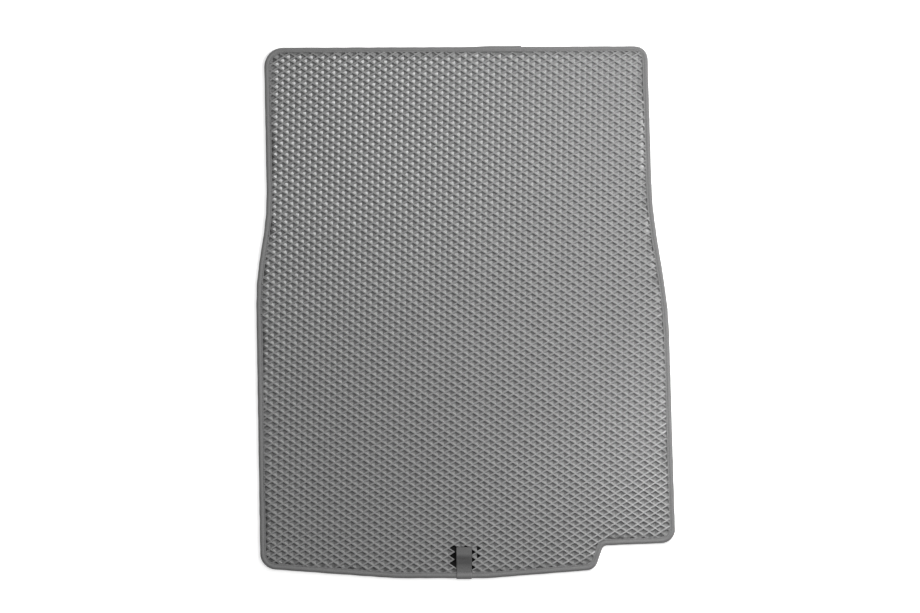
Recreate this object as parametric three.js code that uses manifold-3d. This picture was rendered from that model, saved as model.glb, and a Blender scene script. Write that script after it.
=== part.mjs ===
// A car boot liner: a moulded foam sheet with diamond pockets, cut to the shape of a boot floor. Its
// edge is pressed thin and bound with folded tape. A webbing strap is folded round the bound rear edge
// and arches over a cut-out that a patch closes from below.
// Millimetres, +Z up. The liner lies on z = 0, +Y points from its rear edge to its front edge, and the
// outline is measured over the binding.

import * as THREE from "three";
import { mergeVertices } from "three/addons/utils/BufferGeometryUtils.js";
import Module from "manifold-3d";

const wasm = await Module();
wasm.setup();

// Outline. Each side is given by its distance from the centre line.
const overallLength = 940;
const leftAtFront = 353;
const leftAtShoulder = 347;
const leftAtWaist = 366;
const leftAtRear = 357;
const rightAtFront = 320;
const rightAtShoulder = 328;
const rightAtWaist = 356;
const rightAtRear = 367;
const frontToLeftShoulder = 298;
const frontToRightShoulder = 290;
const leftStepLength = 122;
const rightStepLength = 175;
const frontLeftSetback = 3; // the front edge runs back a little towards its left end
const rearLeftRise = 17;
const rearRightRise = 15;
const rearFlatLeft = 122;
const rearFlatRight = 40;
const notchWidth = 126;
const notchRise = 57.5;
const notchLean = 14.5;
const notchSlope = 5;
const frontLeftRadius = 33;
const frontRightRadius = 23;
const rearLeftRadius = 29;
const rearRightRadius = 25;
const notchOuterRadius = 22;
const notchInnerRadius = 9;
const leftSideRadius = 420;
const rightSideRadius = 700;
const bowRadius = 300;

// Foam sheet and its diamond pockets.
const sheetThickness = 10;
const pocketDepth = 7;
const diamondWidth = 20; // the diamonds that the cut-out follows
const diamondHeight = 13.3;
const pocketScale = 1.75; // a modelled pocket is this much larger than a diamond, to keep the faces few
const diamondTurn = -0.8; // degrees: the outline was cut slightly askew to the diamonds

// Binding tape, folded round the pressed edge of the sheet.
const tapeThickness = 1.2;
const tapeFlap = 10; // how far each flap reaches in from the edge
const seamInset = 7.5;
const seamHeight = 8.3;
const rollHeight = 9.2;
const rollDepth = 3.5;
const lapStart = 9; // the tape's end laps over its start on the front edge, between these places
const lapFull = 45;
const lapEnd = 98;
const lapCut = 0.4;

// Pull strap.
const strapCentre = -1.8;
const strapWidth = 27;
const strapThickness = 1.3;
const strapDip = 7.6; // height of its middle line just past the binding
const strapCrest = 18;
const crestInset = 38.5; // from the rear edge
const strapFoot = 54.5; // where it turns down to the patch
const strapTail = 20; // the sewn end on the patch
const strapEase = 4; // the bound edge eases back to its own line over this length beside the strap

// Cut-out and the patch under it.
const cutoutInset = 52.3; // the diamond in the middle of its far side, from the rear edge
const cutoutCentre = 0.8;
const cutoutFar = 57.5;
const patchWidth = 76;
const patchFar = 68;
const patchThickness = 1.2;
const patchRadius = 6;
const slitWidth = 8;
const slitHeight = 9;

// Fits.
const gap = 0.3; // between pieces that touch
const edgeGap = 0.4; // between the tape's flap and the full thickness of the sheet
const sideGap = 0.6; // beside the strap
const pressedReach = 2; // how far the pressed edge runs on under the full thickness
const through = 5; // how far a cutter runs past a face

const foamGrey = "#8a8a8a";
const tapeGrey = "#7c7c7c";
const strapGrey = "#6f6f6f";
const patchBlack = "#1c1c1c";

const at = (x, y) => new THREE.Vector2(x, y);
const rearEdge = -overallLength / 2;
const frontEdge = overallLength / 2;

// Moves each point of a line sideways, to its left for a positive distance; distances may differ.
function shifted(points, distances, closed) {
  const last = points.length - 1;
  return points.map((point, i) => {
    const before = closed || i > 0 ? points[i > 0 ? i - 1 : last] : point;
    const after = closed || i < last ? points[i < last ? i + 1 : 0] : point;
    const inward = point.clone().sub(before).normalize();
    const outward = after.clone().sub(point).normalize();
    if (before === point) inward.copy(outward);
    if (after === point) outward.copy(inward);
    const along = inward.clone().add(outward).normalize();
    const stretch = 1 / Math.max(along.dot(inward), 0.5);
    const distance = Array.isArray(distances) ? distances[i] : distances;
    return at(point.x - along.y * distance * stretch, point.y + along.x * distance * stretch);
  });
}

// A closed line through corners { x, y, radius }, each rounded as far as its neighbours allow.
function rounded(corners, step = 12) {
  const line = [];
  corners.forEach((corner, i) => {
    const here = at(corner.x, corner.y);
    const before = corners[(i + corners.length - 1) % corners.length];
    const after = corners[(i + 1) % corners.length];
    const inward = here.clone().sub(at(before.x, before.y));
    const outward = at(after.x, after.y).sub(here);
    const room = Math.min(inward.length(), outward.length()) * 0.45;
    inward.normalize();
    outward.normalize();
    const turn = Math.atan2(inward.cross(outward), inward.dot(outward));
    const tangent = Math.min(corner.radius * Math.tan(Math.abs(turn) / 2), room);
    const start = here.clone().addScaledVector(inward, -tangent);
    const end = here.clone().addScaledVector(outward, tangent);
    const radius = tangent / Math.tan(Math.abs(turn) / 2);
    const side = Math.sign(turn);
    const centre = at(start.x - inward.y * radius * side, start.y + inward.x * radius * side);
    const pieces = Math.max(2, Math.ceil(THREE.MathUtils.radToDeg(Math.abs(turn)) / step));
    line.push(start);
    for (let k = 1; k < pieces; k++) {
      line.push(start.clone().rotateAround(centre, (turn * k) / pieces));
    }
    line.push(end);
  });
  return line;
}

// The outline over the binding, anticlockwise from the rear left corner.
function outlineLoop() {
  return rounded([
    { x: -leftAtRear, y: rearEdge + rearLeftRise, radius: rearLeftRadius },
    { x: -rearFlatLeft, y: rearEdge, radius: bowRadius },
    { x: rearFlatRight, y: rearEdge, radius: bowRadius },
    {
      x: rightAtRear - notchWidth - notchLean,
      y: rearEdge + rearRightRise,
      radius: notchOuterRadius,
    },
    { x: rightAtRear - notchWidth, y: rearEdge + notchRise, radius: notchInnerRadius },
    { x: rightAtRear, y: rearEdge + notchRise + notchSlope, radius: rearRightRadius },
    {
      x: rightAtWaist,
      y: frontEdge - frontToRightShoulder - rightStepLength,
      radius: rightSideRadius,
    },
    { x: rightAtShoulder, y: frontEdge - frontToRightShoulder, radius: rightSideRadius },
    { x: rightAtFront, y: frontEdge, radius: frontRightRadius },
    { x: -leftAtFront, y: frontEdge - frontLeftSetback, radius: frontLeftRadius },
    { x: -leftAtShoulder, y: frontEdge - frontToLeftShoulder, radius: leftSideRadius },
    {
      x: -leftAtWaist,
      y: frontEdge - frontToLeftShoulder - leftStepLength,
      radius: leftSideRadius,
    },
  ]);
}

// Adds a point to the loop where its front (side 1) or rear (side -1) edge passes x.
function withPointAt(loop, x, side) {
  const i = loop.findIndex((a, k) => {
    const b = loop[(k + 1) % loop.length];
    return a.y * side > 0 && b.y * side > 0 && (a.x - x) * (b.x - x) < 0;
  });
  if (i < 0) return loop;
  const a = loop[i];
  const b = loop[(i + 1) % loop.length];
  const added = a.clone().lerp(b, (x - a.x) / (b.x - a.x));
  return [...loop.slice(0, i + 1), added, ...loop.slice(i + 1)];
}

// The bound edge in section, as inset and height: over the top, round the side and back underneath.
function edgeLine() {
  const line = [at(tapeFlap, seamHeight + gap), at(seamInset, seamHeight)];
  const pieces = 6;
  for (let k = 0; k <= pieces; k++) {
    const angle = Math.PI / 2 + (Math.PI * k) / pieces;
    const inset = rollDepth + rollDepth * Math.cos(angle);
    line.push(at(inset, (rollHeight / 2) * (1 + Math.sin(angle))));
  }
  line.push(at(tapeFlap, 0));
  return line;
}

// The edge line at a depth under the tape's face. A bulge pushes its upper half out, and a lift
// pushes its underside in, so that what is folded round the edge there stays off the floor.
function edgeAt(depth, bulge = 0, lift = 0) {
  const line = edgeLine();
  const distances = line.map((point) => {
    const upper = THREE.MathUtils.clamp(point.y / (rollHeight / 2), 0, 1);
    return depth - bulge * upper + lift * (1 - upper);
  });
  return shifted(line, distances, false);
}

// From 0 at one place to 1 at the other.
const ramp = (x, from, to) => THREE.MathUtils.clamp((x - from) / (to - from), 0, 1);

// How far the strap lifts the underside of the edge, and the lap of the tape bulges its upper half.
function strapLift({ x, y }) {
  if (y > 0) return 0;
  const half = strapWidth / 2 + sideGap;
  const left = ramp(x, strapCentre - half - strapEase, strapCentre - half);
  const right = ramp(x, strapCentre + half + strapEase, strapCentre + half);
  return left * right * (strapThickness + gap);
}

function lapBulge({ x, y }) {
  if (y < 0) return 0;
  return ramp(x, lapStart, lapFull) * ramp(x, lapEnd + lapCut, lapEnd) * (tapeThickness + gap);
}

// The outline with a point wherever the bound edge changes its section.
function edgeLoop(outline) {
  const half = strapWidth / 2 + sideGap;
  let loop = outline;
  [lapStart, lapFull, lapEnd, lapEnd + lapCut].forEach((x) => {
    loop = withPointAt(loop, x, 1);
  });
  [-half - strapEase, -half, half, half + strapEase].forEach((x) => {
    loop = withPointAt(loop, strapCentre + x, -1);
  });
  return loop;
}

// A closed skin through rings of points, where ring i and point j meet at rings[i][j]. Each face is
// split along its shorter diagonal, so that two skins side by side keep their distance.
function skin(rings) {
  const across = rings[0].length;
  const points = rings.flat();
  const index = [];
  for (let i = 0; i < rings.length; i++) {
    const next = (i + 1) % rings.length;
    for (let j = 0; j < across; j++) {
      const k = (j + 1) % across;
      const [a, b, c, d] = [i * across + j, i * across + k, next * across + k, next * across + j];
      const first = points[a].distanceTo(points[c]) <= points[b].distanceTo(points[d]);
      index.push(...(first ? [a, b, c, a, c, d] : [a, b, d, b, c, d]));
    }
  }
  const geometry = new THREE.BufferGeometry().setFromPoints(points);
  geometry.setIndex(index);
  return geometry;
}

// Sweeps a section of inset and height points round a loop; sectionAt gives the one at each point.
function sweptRound(loop, sectionAt) {
  const inner = shifted(loop, 1, true);
  return skin(
    loop.map((point, i) => {
      const inward = inner[i].clone().sub(point);
      return sectionAt(point).map(
        ({ x: inset, y: height }) =>
          new THREE.Vector3(point.x + inward.x * inset, point.y + inward.y * inset, height),
      );
    }),
  );
}

// A flat outline as a straight block between two heights.
function block(points, low, high) {
  const geometry = new THREE.ExtrudeGeometry(new THREE.Shape(points), {
    depth: high - low,
    bevelEnabled: false,
  });
  return geometry.translate(0, 0, low);
}

function solid(geometry) {
  const bare = geometry.clone();
  bare.deleteAttribute("normal");
  bare.deleteAttribute("uv");
  const merged = mergeVertices(bare, 1e-3);
  return new wasm.Manifold(
    new wasm.Mesh({
      numProp: 3,
      vertProperties: merged.attributes.position.array,
      triVerts: new Uint32Array(merged.index.array),
    }),
  );
}

function geometryOf(made) {
  const mesh = made.getMesh();
  const geometry = new THREE.BufferGeometry();
  geometry.setAttribute("position", new THREE.BufferAttribute(mesh.vertProperties, 3));
  geometry.setIndex(new THREE.BufferAttribute(mesh.triVerts, 1));
  geometry.computeVertexNormals();
  return geometry;
}

function named(name, geometry, colour, roughness) {
  const material = new THREE.MeshStandardMaterial({ color: colour, roughness, metalness: 0 });
  const mesh = new THREE.Mesh(geometry, material);
  mesh.name = name;
  return mesh;
}

// A place on the diamond lattice in half diamonds; the middle of the cut-out's far diamond is 0, 0.
function onLattice(i, j, scale = 1) {
  const origin = at(cutoutCentre, rearEdge + cutoutInset);
  const place = at(
    origin.x + (i * diamondWidth * scale) / 2,
    origin.y + (j * diamondHeight * scale) / 2,
  );
  return place.rotateAround(origin, THREE.MathUtils.degToRad(diamondTurn));
}

// A slab whose top is all pockets: pocket floors and ridge crossings alternate on the lattice, and
// each square of the lattice is folded along the ridge that crosses it.
function pocketSlab() {
  const stepX = (diamondWidth * pocketScale) / 2;
  const stepY = (diamondHeight * pocketScale) / 2;
  const most = Math.ceil((Math.max(leftAtWaist, rightAtRear) + 30) / stepX);
  const first = -most;
  const low = -Math.ceil((cutoutInset + 30) / stepY);
  const high = Math.ceil((overallLength - cutoutInset + 30) / stepY);
  const position = [];
  const index = [];
  const across = most - first + 1;
  const up = high - low + 1;
  for (let j = low; j <= high; j++) {
    for (let i = first; i <= most; i++) {
      const place = onLattice(i, j, pocketScale);
      const ridge = (i + j) % 2 !== 0;
      position.push(place.x, place.y, sheetThickness - (ridge ? 0 : pocketDepth));
    }
  }
  const vertex = (i, j) => j * across + i;
  for (let j = 0; j < up - 1; j++) {
    for (let i = 0; i < across - 1; i++) {
      const [a, b] = [vertex(i, j), vertex(i + 1, j)];
      const [c, d] = [vertex(i + 1, j + 1), vertex(i, j + 1)];
      const ridgeAtA = (i + first + j + low) % 2 !== 0;
      index.push(...(ridgeAtA ? [a, b, c, a, c, d] : [a, b, d, b, c, d]));
    }
  }
  // The sides run down to z = 0, and the underside is a fan from its middle.
  const rim = [];
  for (let i = 0; i < across - 1; i++) rim.push(vertex(i, 0));
  for (let j = 0; j < up - 1; j++) rim.push(vertex(across - 1, j));
  for (let i = across - 1; i > 0; i--) rim.push(vertex(i, up - 1));
  for (let j = up - 1; j > 0; j--) rim.push(vertex(0, j));
  const foot = position.length / 3;
  rim.forEach((v) => position.push(position[v * 3], position[v * 3 + 1], 0));
  const middle = position.length / 3;
  const centre = onLattice((first + most) / 2, (low + high) / 2, pocketScale);
  position.push(centre.x, centre.y, 0);
  rim.forEach((v, k) => {
    const n = (k + 1) % rim.length;
    index.push(v, foot + k, foot + n, v, foot + n, rim[n], middle, foot + n, foot + k);
  });
  const geometry = new THREE.BufferGeometry();
  geometry.setAttribute("position", new THREE.Float32BufferAttribute(position, 3));
  geometry.setIndex(index);
  return geometry;
}

// One diamond of the real lattice as a cutter, a little large so that neighbours join.
function diamondCutter(i, j) {
  const overlap = 0.02;
  const corners = [
    onLattice(i + 1 + overlap, j),
    onLattice(i, j + 1 + overlap),
    onLattice(i - 1 - overlap, j),
    onLattice(i, j - 1 - overlap),
  ];
  return solid(block(corners, -through, sheetThickness + through));
}

// The cut-out: whole diamonds beside the strap, and a straight channel under it.
function cutout() {
  const diamonds = [];
  for (let row = 0; row < 3; row++) {
    diamonds.push([-2, -2 * row], [0, -2 * row], [-1, -2 * row - 1], [1, -2 * row - 1]);
  }
  const half = strapWidth / 2 + sideGap;
  const channel = [
    at(strapCentre - half, rearEdge),
    at(strapCentre + half, rearEdge),
    at(strapCentre + half, rearEdge + cutoutFar),
    at(strapCentre - half, rearEdge + cutoutFar),
  ];
  let made = solid(block(channel, -through, sheetThickness + through));
  diamonds.forEach(([i, j]) => {
    made = made.add(diamondCutter(i, j));
  });
  return made;
}

// Two pockets beside the cut-out have the right half of their floor cut open.
function pocketSlits() {
  const half = slitHeight / 2;
  return [0, -2].map((j) => {
    const middle = onLattice(2, j);
    const corners = [
      at(middle.x, middle.y - half),
      at(middle.x + slitWidth, middle.y),
      at(middle.x, middle.y + half),
    ];
    return solid(block(corners, -through, sheetThickness + through));
  });
}

function patchLoop(margin) {
  const half = patchWidth / 2 + margin;
  const near = rearEdge + tapeFlap + sideGap - margin;
  const far = rearEdge + patchFar + margin;
  return rounded([
    { x: strapCentre - half, y: near, radius: patchRadius + margin },
    { x: strapCentre + half, y: near, radius: patchRadius + margin },
    { x: strapCentre + half, y: far, radius: patchRadius + margin },
    { x: strapCentre - half, y: far, radius: patchRadius + margin },
  ], 30);
}

// The foam sheet: full thickness inside the binding, pressed thin under it.
function foamSheet(outline) {
  const full = shifted(outline, tapeFlap + edgeGap, true);
  let made = solid(pocketSlab()).intersect(solid(block(full, 0, sheetThickness + through)));
  made = made.subtract(cutout());
  pocketSlits().forEach((slit) => {
    made = made.subtract(slit);
  });
  made = made.subtract(solid(block(patchLoop(gap), -through, patchThickness + gap)));
  const inner = tapeFlap + pressedReach;
  const pressed = sweptRound(edgeLoop(outline), (place) => {
    const line = edgeAt(tapeThickness + gap, 0, strapLift(place));
    return [at(inner, line[0].y), ...line, at(inner, line[line.length - 1].y)];
  });
  made = made.add(solid(pressed));
  return named("foam_sheet", geometryOf(made), foamGrey, 0.6);
}

// The tape, thicker where its end laps over its start and lifted where the strap is folded under it.
function edgeBinding(outline) {
  const tape = sweptRound(edgeLoop(outline), (place) => [
    ...edgeAt(0, lapBulge(place), strapLift(place)),
    ...edgeAt(tapeThickness, 0, strapLift(place)).reverse(),
  ]);
  return named("edge_binding", tape, tapeGrey, 0.8);
}

// The strap in side view: folded round the bound edge, arched over the cut-out, and sewn down on the
// patch.
function pullStrap() {
  const folded = edgeAt(-gap - strapThickness / 2, 0, strapThickness + gap);
  const onPatch = patchThickness + gap + strapThickness / 2;
  const free = [
    at(tapeFlap + 6, strapDip),
    at(crestInset - 15, strapDip + 1),
    at(crestInset - 7, strapCrest - 4.6),
    at(crestInset, strapCrest),
    at(crestInset + 7, strapCrest - 2.4),
    at(strapFoot - 3, strapCrest - 7.5),
    at(strapFoot, onPatch + 3.6),
    at(strapFoot - 1, onPatch + 1),
    at(strapFoot - 3.4, onPatch),
  ];
  const arch = new THREE.SplineCurve([folded[0], ...free]).getSpacedPoints(36);
  const line = [...folded.reverse(), ...arch.slice(1), at(strapFoot - strapTail, onPatch)];
  const ribbon = [
    ...shifted(line, strapThickness / 2, false),
    ...shifted(line, -strapThickness / 2, false).reverse(),
  ];
  const geometry = new THREE.ExtrudeGeometry(new THREE.Shape(ribbon), {
    depth: strapWidth,
    bevelEnabled: false,
  });
  // Turned so that the section's x runs along +Y, its y along +Z and the width along +X.
  const turn = new THREE.Matrix4().makeBasis(
    new THREE.Vector3(0, 1, 0),
    new THREE.Vector3(0, 0, 1),
    new THREE.Vector3(1, 0, 0),
  );
  geometry.applyMatrix4(turn).translate(strapCentre - strapWidth / 2, rearEdge, 0);
  return named("pull_strap", geometry, strapGrey, 0.9);
}

function backingPatch() {
  return named("backing_patch", block(patchLoop(0), 0, patchThickness), patchBlack, 0.95);
}

const outline = outlineLoop();
const liner = new THREE.Group();
liner.add(foamSheet(outline), edgeBinding(outline), pullStrap(), backingPatch());

// Centres the liner on the origin, as it is the middle of the whole outline with its bulges.
const bounds = new THREE.Box3().setFromObject(liner);
const middle = bounds.getCenter(new THREE.Vector3());
liner.position.set(-middle.x, -middle.y, -bounds.min.z);

export default liner;
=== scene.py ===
# A car boot liner: grey diamond-pocket foam with a bound edge and a webbing pull strap, lying on a
# white studio floor.

from math import atan2, cos, pi, radians, sin

import bmesh
import bpy
from mathutils import Matrix, Vector, kdtree, noise
from mathutils.bvhtree import BVHTree


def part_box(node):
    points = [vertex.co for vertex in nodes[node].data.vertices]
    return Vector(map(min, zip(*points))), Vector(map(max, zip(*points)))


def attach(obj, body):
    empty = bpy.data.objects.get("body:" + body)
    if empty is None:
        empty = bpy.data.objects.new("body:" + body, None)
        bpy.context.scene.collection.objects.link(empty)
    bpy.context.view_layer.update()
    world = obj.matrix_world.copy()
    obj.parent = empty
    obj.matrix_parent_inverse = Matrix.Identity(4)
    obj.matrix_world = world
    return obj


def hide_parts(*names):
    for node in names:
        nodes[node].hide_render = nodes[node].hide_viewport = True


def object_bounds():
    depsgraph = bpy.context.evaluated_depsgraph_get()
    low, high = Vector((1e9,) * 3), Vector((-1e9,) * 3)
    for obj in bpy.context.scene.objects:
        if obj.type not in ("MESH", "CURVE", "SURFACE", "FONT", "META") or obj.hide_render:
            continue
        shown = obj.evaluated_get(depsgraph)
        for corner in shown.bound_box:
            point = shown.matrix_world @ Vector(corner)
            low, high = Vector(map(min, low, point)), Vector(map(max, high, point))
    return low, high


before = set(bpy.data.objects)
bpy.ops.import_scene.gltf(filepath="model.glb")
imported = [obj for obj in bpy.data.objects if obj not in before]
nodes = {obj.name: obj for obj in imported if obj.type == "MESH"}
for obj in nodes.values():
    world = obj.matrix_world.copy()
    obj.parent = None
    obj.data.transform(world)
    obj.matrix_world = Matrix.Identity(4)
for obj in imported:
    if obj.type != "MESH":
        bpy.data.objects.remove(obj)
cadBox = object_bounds()
scene = bpy.context.scene
scene.view_settings.view_transform = "Standard"


# helpers

def meshPiece(name, bm, materials, body="root"):
    # Closes a bmesh into a finished piece that rides on the liner.
    mesh = bpy.data.meshes.new(name)
    bm.to_mesh(mesh)
    bm.free()
    piece = bpy.data.objects.new(name, mesh)
    scene.collection.objects.link(piece)
    for material in materials:
        mesh.materials.append(material)
    if body:
        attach(piece, body)
    return piece


def cadCopy(node):
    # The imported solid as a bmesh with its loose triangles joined.
    bm = bmesh.new()
    bm.from_mesh(nodes[node].data)
    bmesh.ops.remove_doubles(bm, verts=bm.verts, dist=1e-6)
    return bm


def everything(bm):
    return bm.verts[:] + bm.edges[:] + bm.faces[:]


def cutLoops(node, place, normal):
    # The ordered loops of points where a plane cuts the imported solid.
    bm = cadCopy(node)
    cut = bmesh.ops.bisect_plane(
        bm, geom=everything(bm), dist=1e-7, plane_co=place, plane_no=normal
    )["geom_cut"]
    edges = {e: None for e in cut if isinstance(e, bmesh.types.BMEdge)}
    loops = []
    while edges:
        first, _ = edges.popitem()
        loop = [first.verts[0], first.verts[1]]
        while True:
            onward = [e for e in loop[-1].link_edges if e in edges]
            if not onward:
                break
            edges.pop(onward[0])
            loop.append(onward[0].other_vert(loop[-1]))
        loops.append([v.co.copy() for v in loop[:-1]])
    bm.free()
    return loops


def pathLengths(points, closed):
    # How far along the path each point lies; the last value of a closed path is its whole length.
    lengths = [0.0]
    for here, there in zip(points, points[1:] + points[:1] if closed else points[1:]):
        lengths.append(lengths[-1] + (there - here).length)
    return lengths


def smoothStep(value, low, high):
    t = min(max((value - low) / (high - low), 0.0), 1.0)
    return t * t * (3.0 - 2.0 * t)


# camera and light

camera = {
    "distance": 20.0,
    "tilt": 8.0,             # degrees off the vertical, from the rear edge
    "aim": (-0.0094, 0.0097, 0.0),
    "frameWidth": 1.610,     # what the picture spans at the liner
    "sensor": 36.0,          # millimetres
    "clip": (0.1, 100.0),
}


def makeCamera(values):
    data = bpy.data.cameras.new("camera")
    data.sensor_width = values["sensor"]
    data.lens = data.sensor_width * values["distance"] / values["frameWidth"]
    data.clip_start, data.clip_end = values["clip"]
    eye = bpy.data.objects.new("camera", data)
    scene.collection.objects.link(eye)
    tilt = radians(values["tilt"])
    back = Vector((0.0, -sin(tilt), cos(tilt)))
    eye.location = Vector(values["aim"]) + back * values["distance"]
    eye.rotation_euler = (tilt, 0.0, 0.0)
    scene.camera = eye


lamps = {
    "key": {
        "place": (0.78, 0.55, 1.2), "aim": (0.0, 0.1, 0.0), "size": (0.46, 0.46), "power": 20.4,
    },
    "over": {
        "place": (0.52, -0.20, 1.7), "aim": (0.25, -0.3, 0.0), "size": (0.45, 0.4), "power": 9.2,
    },
    "fill": {
        "place": (-1.1, 0.5, 1.6), "aim": (0.0, 0.0, 0.0), "size": (1.4, 1.4), "power": 3.0,
    },
    "side": {
        "place": (0.425, -0.20, 0.24), "aim": (0.39, -0.23, 0.0), "size": (0.06, 0.42), "power": 0.32,
    },
}
roomLight = 0.20


def whiteToRays(tree):
    # One for what the camera, a reflection or a clear piece sees, and zero for the light itself.
    path = tree.nodes.new("ShaderNodeLightPath")
    value = path.outputs["Is Camera Ray"]
    for name in ("Is Glossy Ray", "Is Transmission Ray"):
        either = tree.nodes.new("ShaderNodeMath")
        either.operation = "MAXIMUM"
        tree.links.new(value, either.inputs[0])
        tree.links.new(path.outputs[name], either.inputs[1])
        value = either.outputs[0]
    return value


def makeLamps(values):
    for name, lamp in values.items():
        data = bpy.data.lights.new(name, "AREA")
        data.shape = "RECTANGLE"
        data.size, data.size_y = lamp["size"]
        data.energy = lamp["power"]
        light = bpy.data.objects.new(name, data)
        scene.collection.objects.link(light)
        light.visible_camera = False
        light.location = lamp["place"]
        toward = Vector(lamp["aim"]) - Vector(lamp["place"])
        light.rotation_euler = toward.to_track_quat("-Z", "Y").to_euler()


def makeStudio(strength):
    # An even, dim room that is white to the camera and in reflections.
    world = bpy.data.worlds.new("studio")
    scene.world = world
    world.use_nodes = True
    tree = world.node_tree
    background = tree.nodes["Background"]
    background.inputs["Color"].default_value = (1.0, 1.0, 1.0, 1.0)
    seen = whiteToRays(tree)
    amount = tree.nodes.new("ShaderNodeMath")
    amount.operation = "MAXIMUM"
    amount.inputs[1].default_value = strength
    tree.links.new(seen, amount.inputs[0])
    tree.links.new(amount.outputs[0], background.inputs["Strength"])


makeCamera(camera)
makeLamps(lamps)
makeStudio(roomLight)
print("camera and lamps: made")


# materials

def newTree(material):
    material.use_nodes = True
    tree = material.node_tree
    return tree, tree.nodes["Principled BSDF"]


def link(tree, source, target):
    tree.links.new(source, target)


def makeGrainGroup():
    # A fine grain on a flat colour: uneven tone, small specks, and a height for bump.
    group = bpy.data.node_groups.new("fineGrain", "ShaderNodeTree")
    face = group.interface
    colour = face.new_socket("Color", in_out="INPUT", socket_type="NodeSocketColor")
    colour.default_value = (0.25, 0.25, 0.25, 1.0)
    for name, value in (("Grain Size", 0.001), ("Unevenness", 0.06), ("Specks", 0.05)):
        socket = face.new_socket(name, in_out="INPUT", socket_type="NodeSocketFloat")
        socket.default_value = value
    face.new_socket("Color", in_out="OUTPUT", socket_type="NodeSocketColor")
    face.new_socket("Height", in_out="OUTPUT", socket_type="NodeSocketFloat")
    made = group.nodes
    entry = made.new("NodeGroupInput")
    leave = made.new("NodeGroupOutput")
    place = made.new("ShaderNodeTexCoord")
    rate = made.new("ShaderNodeMath")
    rate.operation = "DIVIDE"
    rate.inputs[0].default_value = 1.0
    fine = made.new("ShaderNodeTexNoise")
    fine.inputs["Detail"].default_value = 3.0
    broad = made.new("ShaderNodeTexNoise")
    broad.inputs["Scale"].default_value = 9.0
    broad.inputs["Detail"].default_value = 4.0
    group.links.new(entry.outputs["Grain Size"], rate.inputs[1])
    group.links.new(place.outputs["Object"], fine.inputs["Vector"])
    group.links.new(place.outputs["Object"], broad.inputs["Vector"])
    group.links.new(rate.outputs[0], fine.inputs["Scale"])

    def around(source, amount):
        # A noise value as a factor close to one.
        centred = made.new("ShaderNodeMath")
        centred.operation = "SUBTRACT"
        centred.inputs[1].default_value = 0.5
        scaled = made.new("ShaderNodeMath")
        scaled.operation = "MULTIPLY_ADD"
        scaled.inputs[2].default_value = 1.0
        group.links.new(source, centred.inputs[0])
        group.links.new(centred.outputs[0], scaled.inputs[0])
        group.links.new(amount, scaled.inputs[1])
        return scaled.outputs[0]

    factor = made.new("ShaderNodeMath")
    factor.operation = "MULTIPLY"
    group.links.new(around(broad.outputs["Fac"], entry.outputs["Unevenness"]), factor.inputs[0])
    group.links.new(around(fine.outputs["Fac"], entry.outputs["Specks"]), factor.inputs[1])
    tint = made.new("ShaderNodeVectorMath")
    tint.operation = "SCALE"
    group.links.new(entry.outputs["Color"], tint.inputs[0])
    group.links.new(factor.outputs[0], tint.inputs["Scale"])
    group.links.new(tint.outputs[0], leave.inputs["Color"])
    group.links.new(fine.outputs["Fac"], leave.inputs["Height"])
    return group


fineGrain = makeGrainGroup()


def grainOn(tree, shader, look):
    # The look's colour and grain on a shader, with the nodes that a weave can follow.
    values = look["grain"]
    grain = tree.nodes.new("ShaderNodeGroup")
    grain.node_tree = fineGrain
    grain.inputs["Color"].default_value = (*look["colour"], 1.0)
    grain.inputs["Grain Size"].default_value = values["size"]
    grain.inputs["Unevenness"].default_value = values["unevenness"]
    grain.inputs["Specks"].default_value = values["specks"]
    bump = tree.nodes.new("ShaderNodeBump")
    bump.inputs["Strength"].default_value = values["bump"]
    bump.inputs["Distance"].default_value = values["depth"]
    link(tree, grain.outputs["Color"], shader.inputs["Base Color"])
    link(tree, grain.outputs["Height"], bump.inputs["Height"])
    link(tree, bump.outputs["Normal"], shader.inputs["Normal"])
    return grain, bump


# grain: its size, its share in the tone over a hand's breadth and in specks, and its bump
foamLook = {
    "colour": (0.220, 0.220, 0.220),
    "roughness": 0.33,
    "specular": 0.5,
    "grain": {"size": 0.0009, "unevenness": 0.10, "specks": 0.22, "bump": 0.35, "depth": 0.0003},
}
webGrain = {"size": 0.0022, "unevenness": 0.16, "specks": 0.6, "bump": 0.5, "depth": 0.0004}
webThreads = {"tone": 0.5, "bump": 0.6, "depth": 0.0002}
webSheen = {"weight": 0.15, "roughness": 0.5}
tapeLook = {
    "colour": (0.150, 0.150, 0.150),
    "roughness": 0.75,
    "grain": webGrain,
    "along": 0.0016,
    "across": 0.0011,
}
strapLook = {
    "colour": (0.084, 0.084, 0.084),
    "roughness": 0.8,
    "grain": webGrain,
    "along": 0.0032,
    "across": 0.0018,
    # painted highlight on the strap's fold round the bound edge: its colour is lighter there
    "paintedFoldHighlight": (0.0262, 0.0272, 1.85),   # where along the strap the lighter fold ends, and how light
}
plainGrain = {"size": 0.0008, "unevenness": 0.15, "specks": 0.35, "bump": 0.5, "depth": 0.0003}
patchLook = {"colour": (0.012, 0.012, 0.012), "roughness": 0.95, "grain": plainGrain}
threadLook = {"colour": (0.17, 0.17, 0.17), "roughness": 0.5, "grain": plainGrain}


def makeFoamMaterial(look):
    material = bpy.data.materials.new("greyFoam")
    tree, shader = newTree(material)
    shader.inputs["Roughness"].default_value = look["roughness"]
    shader.inputs["Specular IOR Level"].default_value = look["specular"]
    grainOn(tree, shader, look)
    return material


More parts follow.
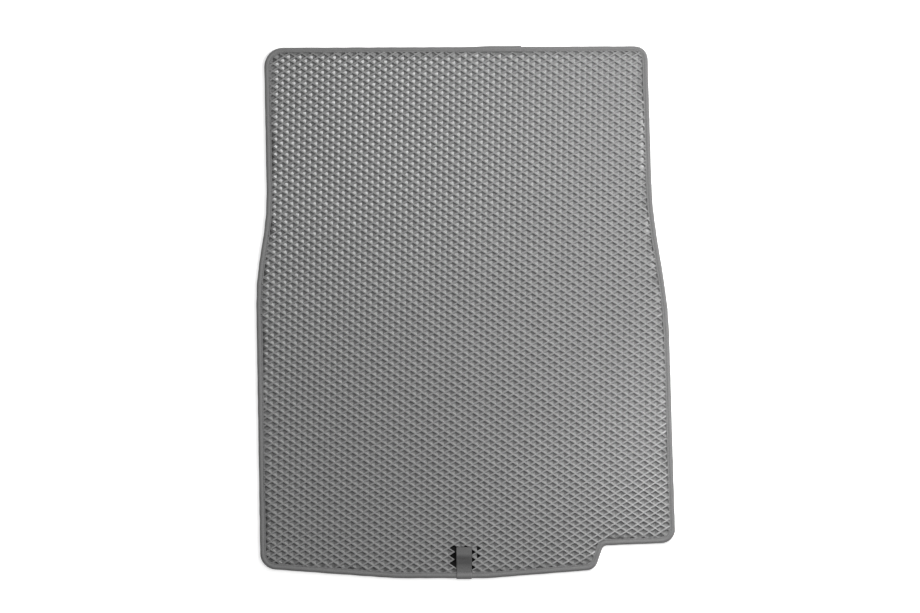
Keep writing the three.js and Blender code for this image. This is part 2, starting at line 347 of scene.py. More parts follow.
def makeWeaveGroup():
    # Crossing threads on a UV map in metres: a colour darker between the threads, and their height.
    group = bpy.data.node_groups.new("crossingThreads", "ShaderNodeTree")
    face = group.interface
    colour = face.new_socket("Color", in_out="INPUT", socket_type="NodeSocketColor")
    colour.default_value = (0.2, 0.2, 0.2, 1.0)
    face.new_socket("Place", in_out="INPUT", socket_type="NodeSocketVector")
    for name, value in (("Pitch Along", 0.002), ("Pitch Across", 0.002), ("Depth", 0.4)):
        socket = face.new_socket(name, in_out="INPUT", socket_type="NodeSocketFloat")
        socket.default_value = value
    face.new_socket("Color", in_out="OUTPUT", socket_type="NodeSocketColor")
    face.new_socket("Height", in_out="OUTPUT", socket_type="NodeSocketFloat")
    made = group.nodes
    entry = made.new("NodeGroupInput")
    leave = made.new("NodeGroupOutput")
    parts = made.new("ShaderNodeSeparateXYZ")
    group.links.new(entry.outputs["Place"], parts.inputs[0])

    def math(operation, first, second):
        node = made.new("ShaderNodeMath")
        node.operation = operation
        for socket, value in zip(node.inputs, (first, second)):
            if isinstance(value, (int, float)):
                socket.default_value = value
            elif value is not None:
                group.links.new(value, socket)
        return node.outputs[0]

    def wave(place, pitch):
        turns = math("DIVIDE", place, pitch)
        return math("SINE", math("MULTIPLY", turns, 2 * pi), None)

    crossed = math(
        "MULTIPLY",
        wave(parts.outputs["X"], entry.outputs["Pitch Along"]),
        wave(parts.outputs["Y"], entry.outputs["Pitch Across"]),
    )
    height = math("ADD", math("MULTIPLY", crossed, 0.5), 0.5)
    swing = math("MULTIPLY", math("SUBTRACT", height, 0.5), entry.outputs["Depth"])
    factor = math("ADD", swing, 1.0)
    tint = made.new("ShaderNodeVectorMath")
    tint.operation = "SCALE"
    group.links.new(entry.outputs["Color"], tint.inputs[0])
    group.links.new(factor, tint.inputs["Scale"])
    group.links.new(tint.outputs[0], leave.inputs["Color"])
    group.links.new(height, leave.inputs["Height"])
    return group


crossingThreads = makeWeaveGroup()


def makeWovenMaterial(name, look):
    material = bpy.data.materials.new(name)
    tree, shader = newTree(material)
    shader.inputs["Roughness"].default_value = look["roughness"]
    shader.inputs["Sheen Weight"].default_value = webSheen["weight"]
    shader.inputs["Sheen Roughness"].default_value = webSheen["roughness"]
    grain, fineBump = grainOn(tree, shader, look)
    place = tree.nodes.new("ShaderNodeUVMap")
    weave = tree.nodes.new("ShaderNodeGroup")
    weave.node_tree = crossingThreads
    weave.inputs["Pitch Along"].default_value = look["along"]
    weave.inputs["Pitch Across"].default_value = look["across"]
    weave.inputs["Depth"].default_value = webThreads["tone"]
    bump = tree.nodes.new("ShaderNodeBump")
    bump.inputs["Strength"].default_value = webThreads["bump"]
    bump.inputs["Distance"].default_value = webThreads["depth"]
    link(tree, grain.outputs["Color"], weave.inputs["Color"])
    link(tree, place.outputs["UV"], weave.inputs["Place"])
    colour = weave.outputs["Color"]
    if "paintedFoldHighlight" in look:
        # painted highlight: the colour is made lighter where the strap is folded round the bound edge
        parts = tree.nodes.new("ShaderNodeSeparateXYZ")
        foldHighlight = tree.nodes.new("ShaderNodeMapRange")
        for name, value in zip(("From Min", "From Max", "To Min"), look["paintedFoldHighlight"]):
            foldHighlight.inputs[name].default_value = value
        foldHighlight.inputs["To Max"].default_value = 1.0
        tint = tree.nodes.new("ShaderNodeVectorMath")
        tint.operation = "SCALE"
        link(tree, place.outputs["UV"], parts.inputs[0])
        link(tree, parts.outputs["Y"], foldHighlight.inputs["Value"])
        link(tree, colour, tint.inputs[0])
        link(tree, foldHighlight.outputs["Result"], tint.inputs["Scale"])
        colour = tint.outputs[0]
    link(tree, colour, shader.inputs["Base Color"])
    link(tree, weave.outputs["Height"], bump.inputs["Height"])
    link(tree, fineBump.outputs["Normal"], bump.inputs["Normal"])
    link(tree, bump.outputs["Normal"], shader.inputs["Normal"])
    return material


def makePlainMaterial(name, look):
    material = bpy.data.materials.new(name)
    tree, shader = newTree(material)
    shader.inputs["Roughness"].default_value = look["roughness"]
    grainOn(tree, shader, look)
    return material


foamMaterial = makeFoamMaterial(foamLook)
tapeMaterial = makeWovenMaterial("greyTape", tapeLook)
strapMaterial = makeWovenMaterial("greyWebbing", strapLook)
patchMaterial = makePlainMaterial("blackFelt", patchLook)
threadMaterial = makePlainMaterial("greyThread", threadLook)
print("materials: made")


# outline

edge = {
    "middleHeight": 0.0046,   # where the side of the binding stands upright
    "lap": (0.0085, 0.0978),  # where the tape's ends overlap on the front edge
    "front": 0.4,             # past this along y the edge is the front one
    "finest": 0.001,          # step along the edge where distances to it are measured
}


def outlineRing(values):
    # The outer edge of the binding at mid height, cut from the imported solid, as one ordered loop.
    loops = cutLoops("edge_binding", (0.0, 0.0, values["middleHeight"]), (0.0, 0.0, 1.0))
    ring = max(loops, key=lambda loop: max(p.x for p in loop))
    area = sum(a.x * b.y - b.x * a.y for a, b in zip(ring, ring[1:] + ring[:1]))
    if area < 0:
        ring = ring[::-1]
    # always the same first point, so that the weave and the seams start there in each run
    start = ring.index(min(ring, key=lambda p: (round(p.y, 6), p.x)))
    return ring[start:] + ring[:start]


def withoutLap(points, values):
    # The loop with the lap's bulge on the front edge left out, and the bulge along x.
    low, high = values["lap"]
    front = [q for q in points if q.y > values["front"]]
    bulged = [q for q in front if low < q.x < high]
    left = max((q for q in front if q.x <= low), key=lambda q: q.x)
    right = min((q for q in front if q.x >= high), key=lambda q: q.x)
    slope = (right.y - left.y) / (right.x - left.x)
    bulge = sorted((q.x, q.y - left.y - slope * (q.x - left.x)) for q in bulged)
    return [q for q in points if q not in bulged], [(left.x, 0.0)] + bulge


outline, lapBulge = withoutLap(outlineRing(edge), edge)
print("outline:", len(outline), "points, lap", [(round(x, 4), round(y, 4)) for x, y in lapBulge])


def loopFace(bm, points):
    # A flat face on an ordered loop of points.
    ring = [bm.verts.new(point) for point in points]
    return bm.faces.new(ring)


def finerLoop(points, longest):
    # The loop with its longer stretches split evenly.
    bm = bmesh.new()
    face = loopFace(bm, points)
    for side in face.edges[:]:
        cuts = int(side.calc_length() / longest)
        if cuts:
            bmesh.ops.subdivide_edges(bm, edges=[side], cuts=cuts)
    finer = [v.co.copy() for v in face.verts]
    bm.free()
    return finer


def insetFace(bm, face, inset, rise):
    face.normal_update()
    bmesh.ops.inset_region(
        bm, faces=[face], thickness=inset, depth=rise, use_boundary=True, use_even_offset=True
    )


def prism(points, inset, low, high):
    # A closed block over a loop, its sides moved in by the inset.
    bm = bmesh.new()
    face = loopFace(bm, [Vector((p.x, p.y, low)) for p in points])
    if inset:
        insetFace(bm, face, inset, 0.0)
        rest = [f for f in bm.faces if f is not face]
        bmesh.ops.delete(bm, geom=rest, context="FACES")
    made = bmesh.ops.extrude_face_region(bm, geom=[face], use_keep_orig=True)
    moved = [v for v in made["geom"] if isinstance(v, bmesh.types.BMVert)]
    bmesh.ops.translate(bm, verts=moved, vec=(0.0, 0.0, high - low))
    bmesh.ops.recalc_face_normals(bm, faces=bm.faces)
    return bm


# foam sheet

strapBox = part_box("pull_strap")
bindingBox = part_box("edge_binding")
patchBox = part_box("backing_patch")
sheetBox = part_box("foam_sheet")

foam = {
    "diamond": (0.0200, 0.0133),
    "grid": 110,             # diamonds from the cut-out to the grid's corners, past the sheet
    "margin": 0.02,          # what is kept of the grid round the liner
    "turn": -0.8,            # degrees, the diamonds against the outline
    "ridge": 0.0009,         # half the width of a ridge's flat top
    "rings": ((0.0004, 0.0004), (0.0010, 0.0034)),  # inward and down, from the ridge to the floor
    "valley": 0.0023,        # how much deeper the floor is along its short middle line
    "unevenness": 0.00012,
    "unevenRate": 60.0,
    "unevenSeed": 7,
    "strapToCutOut": 0.0026,  # from the strap's centre line to the middle column of the cut-out
    "rearToCutOut": 0.0523,
    "under": 0.0088,         # how far in from the edge the full sheet ends, under the tape
    "overlap": 0.0006,       # how far the pressed edge runs on under the full sheet
    "pressed": (0.0015, 0.0066),   # under and upper side of the pressed edge
    "pressedFrom": 0.0098,
    "pressedTo": 0.0114,
    "skin": 0.0021,          # least foam left under a pocket
    "sharp": 12.0,           # degrees between two facets from which their edge is crisp
    "step": (0.0103, 0.0014),  # how far in and how high the underside is cut for the tape
    "strapStep": (0.0107, 0.0031),
}
cutterFrom, cutterTo = -0.005, 0.025   # heights past the sheet, for what cuts right through it
flat = 1e-5


def cutOutMiddle(values):
    x = (strapBox[0].x + strapBox[1].x) / 2 + values["strapToCutOut"]
    return Vector((x, bindingBox[0].y + values["rearToCutOut"], 0.0))


def diamondMatrix(values):
    # Turns the grid's unit squares into diamonds, one of them on the middle of the cut-out.
    wide, tall = values["diamond"]
    skew = Matrix((
        (wide / 2, -wide / 2, 0.0, 0.0),
        (tall / 2, tall / 2, 0.0, 0.0),
        (0.0, 0.0, 1.0, 0.0),
        (0.0, 0.0, 0.0, 1.0),
    ))
    turn = Matrix.Rotation(radians(values["turn"]), 4, "Z")
    return Matrix.Translation(cutOutMiddle(values)) @ turn @ skew


def diamondGrid(values, half):
    bm = bmesh.new()
    bmesh.ops.create_grid(bm, x_segments=2 * half + 1, y_segments=2 * half + 1, size=half + 0.5)
    bmesh.ops.transform(bm, matrix=diamondMatrix(values), verts=bm.verts)
    return bm


def outlineTree(points):
    tree = kdtree.KDTree(len(points))
    for i, point in enumerate(points):
        tree.insert((point.x, point.y, 0.0), i)
    tree.balance()
    return tree


def makeRelief(values, tree):
    # The sheet with all its pockets, larger than the outline, as a closed block.
    thick = sheetBox[1].z
    bm = diamondGrid(values, values["grid"])
    margin = values["margin"]
    outside = []
    for face in bm.faces:
        place = face.calc_center_median()
        if not (cadBox[0].x - margin < place.x < cadBox[1].x + margin
                and cadBox[0].y - margin < place.y < cadBox[1].y + margin):
            outside.append(face)
    bmesh.ops.delete(bm, geom=outside, context="FACES")
    made = bmesh.ops.extrude_face_region(bm, geom=bm.faces[:])
    top = [item for item in made["geom"] if isinstance(item, bmesh.types.BMFace)]
    moved = [item for item in made["geom"] if isinstance(item, bmesh.types.BMVert)]
    bmesh.ops.translate(bm, verts=moved, vec=(0.0, 0.0, thick))
    rim = [side for side in bm.edges if side.is_boundary]
    bmesh.ops.contextual_create(bm, geom=rim)
    bmesh.ops.recalc_face_normals(bm, faces=bm.faces)
    bmesh.ops.inset_individual(bm, faces=top, thickness=values["ridge"], use_even_offset=True)
    for inward, down in values["rings"]:
        bmesh.ops.inset_individual(bm, faces=top, thickness=inward, depth=-down, use_even_offset=True)
    for face in top:
        middle = face.calc_center_median()
        ends = [v for v in face.verts if abs(v.co.x - middle.x) < abs(v.co.y - middle.y)]
        for v in ends:
            v.co.z -= values["valley"]
        bmesh.utils.face_split(face, ends[0], ends[1])
    pressed = values["pressed"][1]
    # Without a seed, Blender's noise vectors differ from run to run.
    noise.seed_set(values["unevenSeed"])
    for v in bm.verts:
        if v.co.z < flat:
            continue
        distance = tree.find((v.co.x, v.co.y, 0.0))[2]
        free = smoothStep(distance, values["pressedFrom"], values["pressedTo"])
        v.co.z = max(v.co.z - (thick - pressed) * (1.0 - free), values["skin"])
        v.co += noise.noise_vector(v.co * values["unevenRate"]) * values["unevenness"] * free
        v.co.z = min(v.co.z, thick)
    return bm


def temporary(name, bm):
    mesh = bpy.data.meshes.new(name)
    bm.to_mesh(mesh)
    bm.free()
    made = bpy.data.objects.new(name, mesh)
    scene.collection.objects.link(made)
    return made


def carve(target, cutters):
    # Applies booleans in order and leaves the result as the target's mesh.
    for operation, cutter in cutters:
        modifier = target.modifiers.new(cutter.name, "BOOLEAN")
        modifier.operation = operation
        modifier.solver = "MANIFOLD"
        modifier.object = cutter
    bpy.context.view_layer.update()
    graph = bpy.context.evaluated_depsgraph_get()
    made = bpy.data.meshes.new_from_object(target.evaluated_get(graph))
    target.modifiers.clear()
    old = target.data
    target.data = made
    bpy.data.meshes.remove(old)
    for _, cutter in cutters:
        mesh = cutter.data
        bpy.data.objects.remove(cutter)
        bpy.data.meshes.remove(mesh)


cutOut = {
    "grid": 8,                # diamonds round its middle that are looked through
    "rows": 3,
    "rim": 0.0007,            # foam left standing beside the removed diamonds
    "channelSide": 0.0006,    # clear beside the strap
    "channel": (0.0113, 0.0555),      # open under the strap, from and to off the rear edge
    "dip": (0.0104, 0.0115, 0.0060),  # where the strap passes the tape's flap, down to a height
    "slits": ((2, 0), (2, -2)),       # diamonds beside it that are half open, in half diamonds
    "slitSize": (0.008, 0.009),
    "patchGap": 0.0003,
}


def makeCutOut(values):
    # The removed diamonds beside the strap, as one block.
    bm = diamondGrid(foam, values["grid"])
    removed = set()
    for row in range(values["rows"]):
        # steps along the two sides of a diamond: right and left neighbours of each row
        removed |= {(-row - 1, 1 - row), (-row, -row), (-row - 1, -row), (-row, -row - 1)}
    inverse = diamondMatrix(foam).inverted()
    keep = []
    for face in bm.faces:
        place = inverse @ face.calc_center_median()
        if (round(place.x), round(place.y)) in removed:
            keep.append(face)
    rest = [face for face in bm.faces if face not in keep]
    bmesh.ops.delete(bm, geom=rest, context="FACES")
    bmesh.ops.inset_region(
        bm, faces=keep, thickness=values["rim"], use_boundary=True, use_even_offset=True
    )
    rest = [face for face in bm.faces if face not in keep]
    bmesh.ops.delete(bm, geom=rest, context="FACES")
    bmesh.ops.translate(bm, verts=bm.verts, vec=(0.0, 0.0, cutterFrom))
    return raised(bm, cutterTo - cutterFrom)


def strapBlock(near, far, low, high):
    # A block as wide as the strap and its clearance, between two distances from the rear edge.
    side = cutOut["channelSide"]
    corners = [
        Vector((strapBox[0].x - side, bindingBox[0].y + near, 0.0)),
        Vector((strapBox[1].x + side, bindingBox[0].y + near, 0.0)),
        Vector((strapBox[1].x + side, bindingBox[0].y + far, 0.0)),
        Vector((strapBox[0].x - side, bindingBox[0].y + far, 0.0)),
    ]
    return prism(corners, 0.0, low, high)


def slitBlock(values, across, along):
    wide, tall = foam["diamond"]
    middle = cutOutMiddle(foam) + Vector((across * wide / 2, along * tall / 2, 0.0))
    reach, height = values["slitSize"]
    corners = [
        middle + Vector((0.0, -height / 2, 0.0)),
        middle + Vector((reach, 0.0, 0.0)),
        middle + Vector((0.0, height / 2, 0.0)),
    ]
    return prism(corners, 0.0, cutterFrom, cutterTo)


def patchLoop():
    # The patch's outline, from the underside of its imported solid.
    bm = cadCopy("backing_patch")
    low = [v for v in bm.verts if v.co.z < flat]
    middle = (patchBox[0] + patchBox[1]) / 2
    points = [v.co.copy() for v in low]
    bm.free()
    points.sort(key=lambda q: atan2(q.y - middle.y, q.x - middle.x))
    return points


def raised(bm, height):
    # The flat faces as a closed block of the given height.
    made = bmesh.ops.extrude_face_region(bm, geom=bm.faces[:], use_keep_orig=True)
    moved = [item for item in made["geom"] if isinstance(item, bmesh.types.BMVert)]
    bmesh.ops.translate(bm, verts=moved, vec=(0.0, 0.0, height))
    bmesh.ops.recalc_face_normals(bm, faces=bm.faces)
    return bm


def makePressedEdge(values, points):
    # The edge of the sheet where the tape presses it thin, as a closed ring. It stands as far in
    # from the tape's side as it lies above the floor.
    bm = bmesh.new()
    low, high = values["pressed"]
    face = loopFace(bm, [Vector((q.x, q.y, low)) for q in points])
    insetFace(bm, face, low, 0.0)
    outer = [f for f in bm.faces if f is not face]
    bmesh.ops.delete(bm, geom=outer, context="FACES")
    insetFace(bm, face, values["under"] + values["overlap"] - low, 0.0)
    bmesh.ops.delete(bm, geom=[face], context="FACES_ONLY")
    return raised(bm, high - low)


def makeStep(values, points):
    # What is cut from the underside along the edge, so that the tape lies flush.
    bm = bmesh.new()
    inward, height = values["step"]
    face = loopFace(bm, [Vector((q.x, q.y, cutterFrom)) for q in points])
    insetFace(bm, face, inward, 0.0)
    bmesh.ops.delete(bm, geom=[face], context="FACES_ONLY")
    return raised(bm, height - cutterFrom)


def makeFoam(values, points):
    tree = outlineTree(finerLoop(points, edge["finest"]))
    sheet = temporary("foamSheet", makeRelief(values, tree))
    inside = prism(points, values["under"], cutterFrom, cutterTo)
    reach, height = values["strapStep"]
    strapStep = strapBlock(-reach, reach, cutterFrom, height)
    dip = strapBlock(*cutOut["dip"], cutterTo)
    channel = strapBlock(*cutOut["channel"], cutterFrom, cutterTo)
    cutters = [
        ("INTERSECT", temporary("inside", inside)),
        ("UNION", temporary("pressedEdge", makePressedEdge(values, points))),
        ("DIFFERENCE", temporary("step", makeStep(values, points))),
        ("DIFFERENCE", temporary("strapStep", strapStep)),
        ("DIFFERENCE", temporary("cutOut", makeCutOut(cutOut))),
        ("DIFFERENCE", temporary("dip", dip)),
        ("DIFFERENCE", temporary("channel", channel)),
    ]
    for across, along in cutOut["slits"]:
        cutters.append(("DIFFERENCE", temporary("slit", slitBlock(cutOut, across, along))))
    recess = prism(patchLoop(), -cutOut["patchGap"], cutterFrom, patchBox[1].z + cutOut["patchGap"])
    cutters.append(("DIFFERENCE", temporary("recess", recess)))
    carve(sheet, cutters)
    bm = bmesh.new()
    bm.from_mesh(sheet.data)
    for face in bm.faces:
        face.smooth = True
        face.material_index = 0
    for side in bm.edges:
        if side.calc_face_angle(0.0) > radians(values["sharp"]):
            side.smooth = False
    openEdges = sum(1 for side in bm.edges if not side.is_manifold)
    print("foam sheet:", len(bm.faces), "faces,", openEdges, "open edges")
    bm.to_mesh(sheet.data)
    bm.free()
    sheet.data.materials.clear()
    sheet.data.materials.append(foamMaterial)
    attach(sheet, "root")
    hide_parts("foam_sheet")


makeFoam(foam, outline)


# binding tape

tape = {
    "segment": 0.0025,
    # inset and height from the edge's side, over the roll and down to the seam, then the cut flap
    "upper": (
        (0.0005, 0.0069), (0.0018, 0.00855), (0.0035, 0.0092), (0.0055, 0.0089), (0.0066, 0.0083),
        (0.0075, 0.0074), (0.0084, 0.0079), (0.0100, 0.0083),
    ),
    "lower": (
        (0.0005, 0.0023), (0.0018, 0.00065), (0.0035, 0.0), (0.0065, 0.0), (0.0075, 0.00045),
        (0.0085, 0.0), (0.0100, 0.0),
    ),
    "seam": 0.0075,
    "thickness": 0.0012,
    "puff": 0.0004,
    "puffRate": 55.0,
    "puffAbove": 0.002,       # the underside stays flat
    "strapLift": 0.0016,      # how far the strap's foot lifts the underside
    "liftEase": 0.004,        # over how much of its width, from each selvage
    "lapEnd": (0.0977, 0.0982),  # where the lap's cut end steps down on the front edge
    "lapNear": 0.01,
    "frontFlap": 0.0012,      # how much narrower the flap is along the front edge
    "frontFlapOn": (0.445, 0.455),
    "lapRise": 0.6,           # how far the lap stands up, against how far it stands out
    "lapFade": (0.2, 1.0),    # where it fades out, as a share of the way to the seam
}
strapMiddle = (strapBox[0].x + strapBox[1].x) / 2
strapHalf = (strapBox[1].x - strapBox[0].x) / 2


def lapReach(x):
    # How far the lap stands out of the front edge at x.
    for (fromX, fromBulge), (toX, toBulge) in zip(lapBulge, lapBulge[1:]):
        if fromX <= x <= toX:
            return fromBulge + (toBulge - fromBulge) * (x - fromX) / (toX - fromX)
    return lapBulge[-1][1] if x > lapBulge[-1][0] else 0.0


def unrollTape(bm, start):
    # UV in metres: along the edge, and across it from the side.
    fine = finerLoop(start, edge["finest"])
    lengths = pathLengths(fine, True)
    total = lengths[-1]
    tree = outlineTree(fine)
    uv = bm.loops.layers.uv.new("UVMap")
    for face in bm.faces:
        places = []
        for corner in face.loops:
            spot = corner.vert.co
            _, index, inset = tree.find((spot.x, spot.y, 0.0))
            rise = spot.z - edge["middleHeight"]
            across = (inset + abs(rise)) * (1.0 if rise > 0 else -1.0)
            places.append([lengths[index], across])
        if max(u for u, _ in places) - min(u for u, _ in places) > total / 2:
            for place in places:
                if place[0] < total / 2:
                    place[0] += total
        for corner, place in zip(face.loops, places):
            corner[uv].uv = place


def makeTape(values, points):
    bm = bmesh.new()
    start = finerLoop(points, values["segment"])
    top = loopFace(bm, start)
    rim = list(top.edges)
    seams = []

    def run(face, profile, way):
        inset, height = 0.0, edge["middleHeight"]
        for nextInset, nextHeight in profile:
            insetFace(bm, face, nextInset - inset, way * (nextHeight - height))
            inset, height = nextInset, nextHeight
            if abs(inset - values["seam"]) < 1e-6:
                seams.append([v.co.copy() for v in face.verts])
        for v in face.verts:
            v.co.y += values["frontFlap"] * smoothStep(v.co.y, *values["frontFlapOn"])
        bmesh.ops.delete(bm, geom=[face], context="FACES_ONLY")

    top.normal_update()
    if top.normal.z < 0:
        top.normal_flip()
    run(top, values["upper"], 1.0)
    under = bmesh.ops.contextual_create(bm, geom=rim)["faces"][0]
    under.normal_update()
    if under.normal.z > 0:
        under.normal_flip()
    run(under, values["lower"], -1.0)
    for place in values["lapEnd"]:
        far = [f for f in bm.faces if f.calc_center_median().y > edge["front"]]
        nearby = [f for f in far if abs(f.calc_center_median().x - place) < values["lapNear"]]
        parts = {item: None for face in nearby for item in (face, *face.edges, *face.verts)}
        bmesh.ops.bisect_plane(
            bm, geom=list(parts), dist=1e-6, plane_co=(place, 0.0, 0.0), plane_no=(1.0, 0.0, 0.0)
        )
    bmesh.ops.recalc_face_normals(bm, faces=bm.faces)
    unrollTape(bm, start)
    bm.normal_update()
    for v in bm.verts:
        upper = min(max(v.co.z / edge["middleHeight"], 0.0), 1.0)
        if v.co.y < 0 and upper < 1.0:
            beside = abs(v.co.x - strapMiddle) - strapHalf - cutOut["channelSide"]
            under = smoothStep(-beside, -values["liftEase"], 0.0)
            v.co.z += values["strapLift"] * (1.0 - upper) * under
        if v.co.y > edge["front"] and v.co.x < values["lapEnd"][0] + flat:
            lap = lapReach(v.co.x)
            inward = (bindingBox[1].y - v.co.y) / values["seam"]
            v.co.y += lap * (1.0 - smoothStep(inward, *values["lapFade"]))
            v.co.z += lap * values["lapRise"] * max(v.normal.z, 0.0)
        if v.co.z > values["puffAbove"]:
            v.co += v.normal * noise.noise(v.co * values["puffRate"]) * values["puff"]
    for face in bm.faces:
        face.smooth = True
    piece = meshPiece("edgeTape", bm, [tapeMaterial])
    solid = piece.modifiers.new("thickness", "SOLIDIFY")
    solid.thickness = values["thickness"]
    solid.offset = -1.0
    solid.use_even_offset = True
    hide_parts("edge_binding")
    return piece, seams


tapePiece, seamPaths = makeTape(tape, outline)
print("tape:", len(tapePiece.data.polygons), "faces, seams", [len(path) for path in seamPaths])


# pull strap

strap = {
    "across": 10,             # stretches over the width
    "thickness": 0.0013,
    "curl": 0.0012,           # how far the left selvage lifts on the free arch
    "selvage": 0.004,         # how much of the width curls
    "arch": (0.020, 0.053),   # where the arch stands free, from the rear edge
    "archEase": 0.008,
    "archAbove": 0.004,       # what lies lower is on the patch
    "waver": 0.0003,
    "waverRate": 90.0,
    "foot": (0.02, 0.001),    # the foot's end lies within this reach of the rear edge, this low
}


def strapLine():
    # The middle of the strap's thickness from its foot under the edge to its tail on the patch.
    points = cutLoops("pull_strap", (strapMiddle, 0.0, 0.0), (1.0, 0.0, 0.0))[0]
    half = len(points) // 2
    # the foot's end is the low point of the loop that lies farthest in under the edge
    reach, height = strap["foot"]
    foot = [q for q in points if q.z < height and q.y < bindingBox[0].y + reach]
    end = max(foot, key=lambda q: (round(q.y, 5), -abs(q.z - strap["thickness"] / 2)))
    begin = points.index(end)
    line = [points[begin]]
    for step in range(1, half):
        ahead = points[(begin + step) % len(points)]
        behind = points[(begin - step) % len(points)]
        line.append((ahead + behind) / 2)
    line.append(points[(begin + half) % len(points)])
    return line


def makeStrap(values):
    line = strapLine()
    bm = bmesh.new()
    count = values["across"]
    row = []
    for i in range(count + 1):
        x = strapBox[0].x + (strapBox[1].x - strapBox[0].x) * i / count
        row.append(bm.verts.new((x, line[0].y, line[0].z)))
    edges = [bm.edges.new(pair) for pair in zip(row, row[1:])]
    uv = bm.loops.layers.uv.new("UVMap")
    along = {v: 0.0 for v in row}
    gone = 0.0
    for here, there in zip(line, line[1:]):
        made = bmesh.ops.extrude_edge_only(bm, edges=edges)["geom"]
        verts = [item for item in made if isinstance(item, bmesh.types.BMVert)]
        edges = [item for item in made if isinstance(item, bmesh.types.BMEdge)]
        edges = [item for item in edges if all(v in verts for v in item.verts)]
        bmesh.ops.translate(bm, verts=verts, vec=(0.0, there.y - here.y, there.z - here.z))
        gone += (there - here).length
        for v in verts:
            along[v] = gone
    for face in bm.faces:
        face.smooth = True
        for corner in face.loops:
            corner[uv].uv = (corner.vert.co.x - strapBox[0].x, along[corner.vert])
    bmesh.ops.recalc_face_normals(bm, faces=bm.faces)
    crest = max(bm.verts, key=lambda v: v.co.z)
    crest.normal_update()
    if crest.link_faces[0].normal.z < 0:
        bmesh.ops.reverse_faces(bm, faces=bm.faces)
    near, far = (bindingBox[0].y + reach for reach in values["arch"])
    ease, selvage = values["archEase"], values["selvage"]
    for v in bm.verts:
        rising = smoothStep(v.co.y, near, near + ease)
        falling = 1.0 - smoothStep(v.co.y, far - ease, far)
        free = rising * falling if v.co.z >= values["archAbove"] else 0.0
        left = smoothStep(strapBox[0].x + selvage - v.co.x, 0.0, selvage)
        v.co.z += values["curl"] * left * free
        v.co.z += noise.noise(v.co * values["waverRate"]) * values["waver"] * free
    piece = meshPiece("pullStrap", bm, [strapMaterial])
    solid = piece.modifiers.new("thickness", "SOLIDIFY")
    solid.thickness = values["thickness"]
    solid.offset = 0.0
    solid.use_even_offset = True
    smooth = piece.modifiers.new("smooth", "SUBSURF")
    smooth.levels = 1
    smooth.render_levels = 1
    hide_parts("pull_strap")
    return piece


strapPiece = makeStrap(strap)
print("strap:", len(strapPiece.data.polygons), "faces")


# patch under the cut-out

patch = {"edge": 0.0003}


def makePatch(values):
    bm = prism(patchLoop(), 0.0, patchBox[0].z, patchBox[1].z)
    around = [e for e in bm.edges if abs(e.verts[0].co.z - e.verts[1].co.z) < 1e-6]
    bmesh.ops.bevel(
        bm, geom=around, offset=values["edge"], segments=2, profile=0.5, affect="EDGES", material=-1
    )
    for face in bm.faces:
        face.smooth = True
    piece = meshPiece("blackPatch", bm, [patchMaterial])
    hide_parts("backing_patch")


makePatch(patch)
print("patch: made")


# seam threads

thread = {
    "pitch": 0.0042,
    "length": 0.0033,
    "radius": 0.00034,
    "strapRow": 0.0093,       # the row across the strap, from the rear edge
    "sink": 0.00008,
    "lift": 0.4,              # share of the rest of its radius that a stitch is lifted by
    "feel": 0.0012,           # how far before and after a stitch the surface is felt for its slope
    "clear": 0.001,           # off the strap's selvages
    "from": 0.03,             # height from which the surface is looked for
}


def surfaceOf(pieces):
    graph = bpy.context.evaluated_depsgraph_get()
    bm = bmesh.new()
    for piece in pieces:
        made = bpy.data.meshes.new_from_object(piece.evaluated_get(graph))
        bm.from_mesh(made)
        bpy.data.meshes.remove(made)
    tree = BVHTree.FromBMesh(bm)
    bm.free()
    return tree


def evenPoints(points, pitch, closed):
    # Points and directions at an even pitch along a path.
    stops = points + points[:1] if closed else points
    lengths = pathLengths(stops, False)
    count = max(int(round(lengths[-1] / pitch)), 1)
    made = []
    index = 0
    for step in range(count):
        goal = lengths[-1] * (step + 0.5) / count
        while lengths[index + 1] < goal:
            index += 1
        part = (goal - lengths[index]) / max(lengths[index + 1] - lengths[index], 1e-9)
        way = (stops[index + 1] - stops[index]).normalized()
        made.append((stops[index].lerp(stops[index + 1], part), way))
    return made


def oneStitch(values):
    bm = bmesh.new()
    bmesh.ops.create_uvsphere(bm, u_segments=6, v_segments=5, radius=1.0)
    bmesh.ops.rotate(bm, verts=bm.verts, matrix=Matrix.Rotation(pi / 2, 3, "Y"))
    size = (values["length"] / 2, values["radius"], values["radius"])
    bmesh.ops.scale(bm, verts=bm.verts, vec=size)
    mesh = bpy.data.meshes.new("stitch")
    bm.to_mesh(mesh)
    bm.free()
    return mesh


def copies(mesh, places):
    # One copy of a small mesh at each place, in a single bmesh.
    bm = bmesh.new()
    bm.from_mesh(mesh)
    size = len(bm.verts)
    while len(bm.verts) < size * len(places):
        bmesh.ops.duplicate(bm, geom=everything(bm))
    verts = bm.verts[:]
    for i, place in enumerate(places):
        for v in verts[i * size:(i + 1) * size]:
            v.co = place @ v.co
    bmesh.ops.delete(bm, geom=verts[size * len(places):], context="VERTS")
    return bm


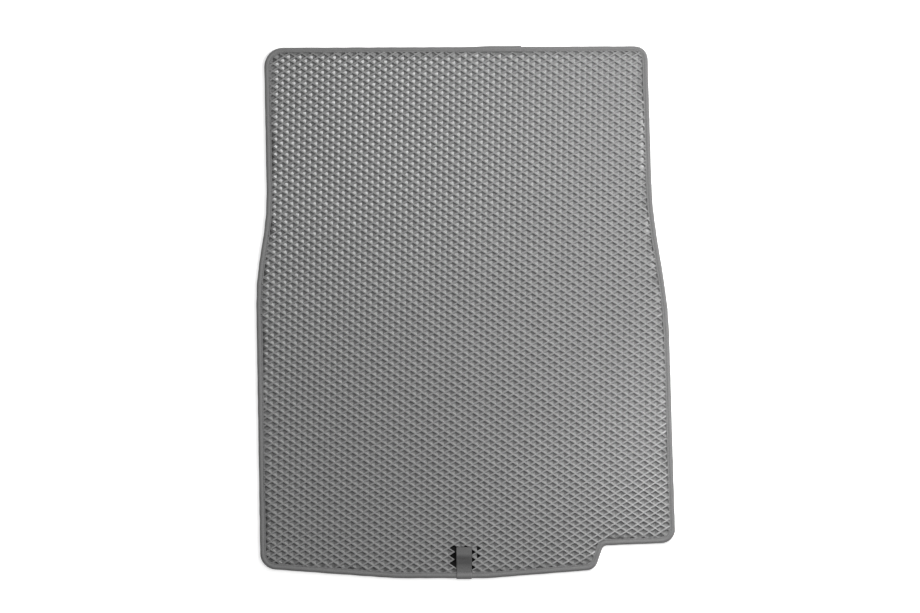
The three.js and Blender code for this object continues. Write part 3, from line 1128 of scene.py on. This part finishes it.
def makeThreads(values, seams):
    surface = surfaceOf([tapePiece, strapPiece])
    stitch = oneStitch(values)
    places = []

    def sew(path, closed, way, clear):
        for place, along in evenPoints(path, values["pitch"], closed):
            onStrap = place.y < 0.0 and abs(place.x - strapMiddle) < strapHalf + values["clear"]
            if clear and onStrap:
                continue
            start = Vector((place.x, place.y, values["from"] * way))
            inward = Vector((0.0, 0.0, -way))
            feel = along * values["feel"]
            starts = (start, start + feel, start - feel)
            spot, ahead, back = (surface.ray_cast(begin, inward)[0] for begin in starts)
            if spot is None or ahead is None or back is None:
                continue
            tangent = (ahead - back).normalized()
            across = Vector((0.0, 0.0, 1.0)).cross(tangent).normalized()
            upward = tangent.cross(across)
            turn = Matrix((tangent, across, upward)).transposed().to_4x4()
            rise = (values["radius"] - values["sink"]) * way * values["lift"]
            lift = Matrix.Translation(spot + Vector((0.0, 0.0, rise)))
            places.append(lift @ turn)

    sew(seams[0], True, 1.0, True)
    sew(seams[1], True, -1.0, True)
    rowY = bindingBox[0].y + values["strapRow"]
    margin = values["clear"]
    ends = (strapBox[0].x + margin, strapBox[1].x - margin)
    sew([Vector((x, rowY, 0.0)) for x in ends], False, 1.0, False)
    bm = copies(stitch, places)
    for face in bm.faces:
        face.smooth = True
    bpy.data.meshes.remove(stitch)
    return meshPiece("seamThreads", bm, [threadMaterial])


threadPiece = makeThreads(thread, seamPaths)
print("threads:", len(threadPiece.data.polygons), "faces")


# floor

floorLook = {
    "size": 6.0,
    "below": 0.0003,
    "colour": (0.8, 0.8, 0.8),
    "roughness": 0.9,
    "glow": (0.7, 1.6, 0.62, 0.9),   # from and to in metres off the middle, and its strength at each
}


def makeFloorMaterial(look):
    # White to the camera and in reflections, while the liner's shadow still shows on it.
    material = bpy.data.materials.new("paperFloor")
    tree, shader = newTree(material)
    shader.inputs["Base Color"].default_value = (*look["colour"], 1.0)
    shader.inputs["Roughness"].default_value = look["roughness"]
    shader.inputs["Specular IOR Level"].default_value = 0.0
    shader.inputs["Emission Color"].default_value = (1.0, 1.0, 1.0, 1.0)
    place = tree.nodes.new("ShaderNodeTexCoord")
    reach = tree.nodes.new("ShaderNodeVectorMath")
    reach.operation = "LENGTH"
    glow = tree.nodes.new("ShaderNodeMapRange")
    for name, value in zip(("From Min", "From Max", "To Min", "To Max"), look["glow"]):
        glow.inputs[name].default_value = value
    amount = tree.nodes.new("ShaderNodeMath")
    amount.operation = "MULTIPLY"
    link(tree, place.outputs["Object"], reach.inputs[0])
    link(tree, reach.outputs["Value"], glow.inputs["Value"])
    link(tree, whiteToRays(tree), amount.inputs[0])
    link(tree, glow.outputs["Result"], amount.inputs[1])
    link(tree, amount.outputs[0], shader.inputs["Emission Strength"])
    return material


def makeFloor(look):
    bm = bmesh.new()
    bmesh.ops.create_grid(bm, x_segments=1, y_segments=1, size=look["size"])
    bmesh.ops.translate(bm, verts=bm.verts, vec=(0.0, 0.0, -look["below"]))
    floor = meshPiece("floor", bm, [makeFloorMaterial(look)], body=None)


makeFloor(floorLook)
print("floor: made")
